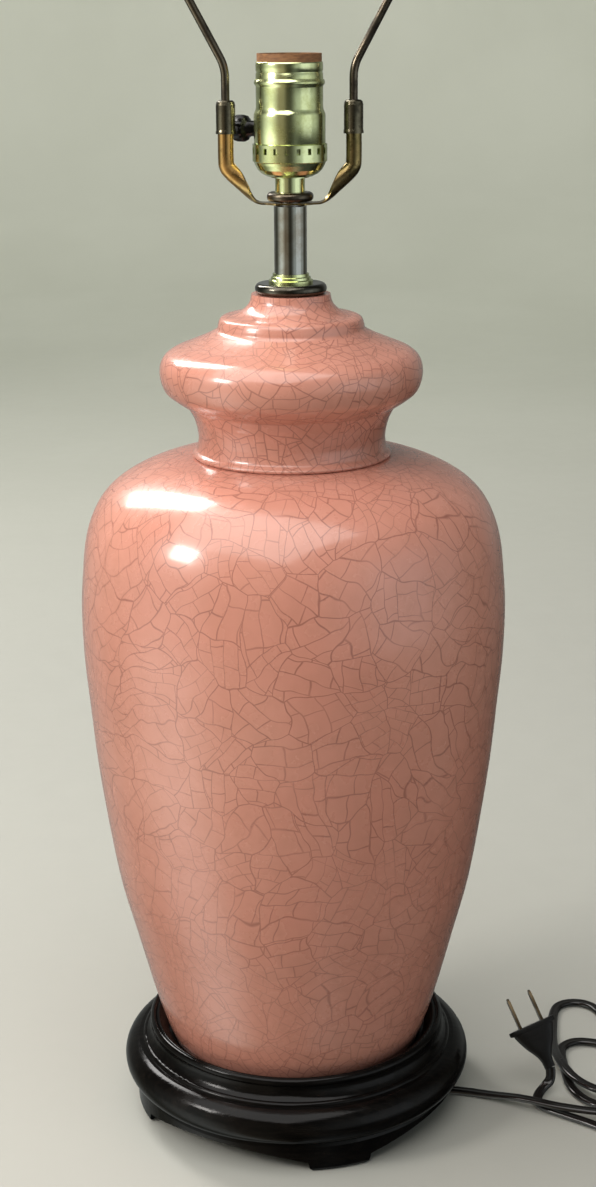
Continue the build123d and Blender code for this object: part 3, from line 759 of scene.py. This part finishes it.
# ---- floor and light -----------------------------------------------------------------
def floor():
    """Pale floor that curves up into a darker wall behind."""
    n = Nodes("pale_floor")
    tone = n.mix(n.spread(n.noise(3.0, 3), 0.3, 0.7), (0.76, 0.78, 0.67), (0.80, 0.82, 0.71))
    depth = n.add("SeparateXYZ", {"Vector": n.where}).outputs[1]
    tone = n.mix(n.spread(depth, 0.5, 3.0), (0.40, 0.40, 0.36), tone)
    n.shade(Base_Color=tone, Roughness=n.spread(n.noise(40.0, 3), 0.3, 0.7, 0.55, 0.65))
    reach = 3.6
    rows = [(-reach, 0), (2.4, 0), (2.9, 0.05), (3.25, 0.2), (3.45, 0.5), (3.5, 1.0), (3.5, 4.4)]
    verts = [(x, y, z) for y, z in rows for x in (-reach, reach)]
    mesh = bpy.data.meshes.new("backdrop")
    mesh.from_pydata(verts, [], grid_faces(len(rows), 2))
    mesh.polygons.foreach_set("use_smooth", [True] * len(mesh.polygons))
    obj = bpy.data.objects.new("backdrop", mesh)
    bpy.context.collection.objects.link(obj)
    obj.data.materials.append(n.material)
    obj.visible_glossy = False          # glaze and metal reflect the room, not the floor


def area_light(name, azimuth, elevation, distance, size, power, color, target=(0, 0, 0.33)):
    """Soft box seen from the object at an azimuth from the front (+ to the right) and an elevation."""
    data = bpy.data.lights.new(name, "AREA")
    data.shape, data.size, data.size_y = "RECTANGLE", size[0], size[1]
    data.energy, data.color = power, color
    a, e = radians(azimuth), radians(elevation)
    aim = Vector((sin(a) * cos(e), -cos(a) * cos(e), sin(e)))
    lamp = bpy.data.objects.new(name, data)
    bpy.context.collection.objects.link(lamp)
    lamp.location = Vector(target) + aim * distance
    lamp.rotation_euler = aim.to_track_quat("Z", "Y").to_euler()


floor()
area_light("window", -141, 41, 1.6, (0.36, 0.92), 17, (1.0, 0.98, 0.95))
area_light("spot", -65, 25, 1.8, (0.46, 0.40), 15, (1.0, 0.96, 0.92))
area_light("key", -40, 66, 2.4, (3.3, 2.9), 84, (1.0, 0.98, 0.96))
area_light("fill", 58, 6, 2.6, (1.7, 1.9), 3.6, (0.88, 0.92, 1.0))


def room_light():
    """Studio room with brighter and darker walls around it, for glaze and metal to reflect."""
    world = bpy.data.worlds.new("studio")
    world.use_nodes = True
    tree = world.node_tree
    new, links = tree.nodes.new, tree.links.new
    split = new("ShaderNodeSeparateXYZ")
    links(new("ShaderNodeTexCoord").outputs["Generated"], split.inputs[0])
    back = new("ShaderNodeMath")
    back.operation = "MULTIPLY"
    back.inputs[1].default_value = -1
    links(split.outputs[1], back.inputs[0])
    angle = new("ShaderNodeMath")
    angle.operation = "ARCTAN2"
    links(split.outputs[0], angle.inputs[0])
    links(back.outputs[0], angle.inputs[1])

    def between(value, low, high, to_low=0.0, to_high=1.0):
        node = new("ShaderNodeMapRange")
        for key, number in (("From Min", low), ("From Max", high), ("To Min", to_low), ("To Max", to_high)):
            node.inputs[key].default_value = number
        links(value, node.inputs["Value"])
        return node.outputs["Result"]

    walls = new("ShaderNodeValToRGB")
    links(between(angle.outputs[0], -pi, pi), walls.inputs["Fac"])
    # (azimuth in degrees from the front, + to the right, then red, green, blue)
    stops = [(-180, 0.60, 0.63, 0.60), (-128, 0.30, 0.31, 0.28), (-116, 0.14, 0.15, 0.12), (-101, 0.34, 0.36, 0.31),
             (-88, 1.05, 1.10, 1.02), (-72, 1.75, 1.82, 1.72), (-60, 1.75, 1.80, 1.66), (-49, 1.20, 1.16, 1.02),
             (-38, 0.56, 0.48, 0.37), (-20, 0.50, 0.44, 0.34), (-9, 0.13, 0.12, 0.09), (4, 0.10, 0.10, 0.08),
             (13, 0.30, 0.32, 0.30), (24, 0.80, 0.87, 0.86), (40, 1.02, 1.12, 1.12), (90, 0.96, 1.03, 1.02),
             (106, 0.30, 0.30, 0.26), (120, 0.10, 0.10, 0.08), (140, 0.42, 0.44, 0.41)]
    ramp = walls.color_ramp
    while len(ramp.elements) < len(stops):
        ramp.elements.new(0.5)
    for element, (azimuth, r, g, b) in zip(ramp.elements, stops):
        element.position = (azimuth + 180) / 360
        element.color = (r, g, b, 1)
    background = tree.nodes["Background"]
    dim = between(split.outputs[2], 0.2, 0.75, 0.50, 0.14)
    # below the horizon, which only reflections see, the left is bright and the right dark
    side = between(split.outputs[0], -0.85, 0.5, 1.9, 0.1)
    below = between(split.outputs[2], -0.10, -0.34)
    low = new("ShaderNodeMix")
    low.inputs["A"].default_value = 1.0
    links(below, low.inputs["Factor"])
    links(side, low.inputs["B"])
    strength = new("ShaderNodeMath")
    strength.operation = "MULTIPLY"
    links(dim, strength.inputs[0])
    links(low.outputs["Result"], strength.inputs[1])
    links(strength.outputs[0], background.inputs["Strength"])
    links(walls.outputs["Color"], background.inputs["Color"])
    # past the backdrop's edge the room is plain
    plain = new("ShaderNodeBackground")
    plain.inputs["Color"].default_value = (0.46, 0.46, 0.42, 1)
    either = new("ShaderNodeMixShader")
    links(new("ShaderNodeLightPath").outputs["Is Camera Ray"], either.inputs[0])
    links(background.outputs[0], either.inputs[1])
    links(plain.outputs[0], either.inputs[2])
    links(either.outputs[0], tree.nodes["World Output"].inputs["Surface"])
    bpy.context.scene.world = world


room_light()
bpy.context.scene.view_settings.view_transform = "Standard"
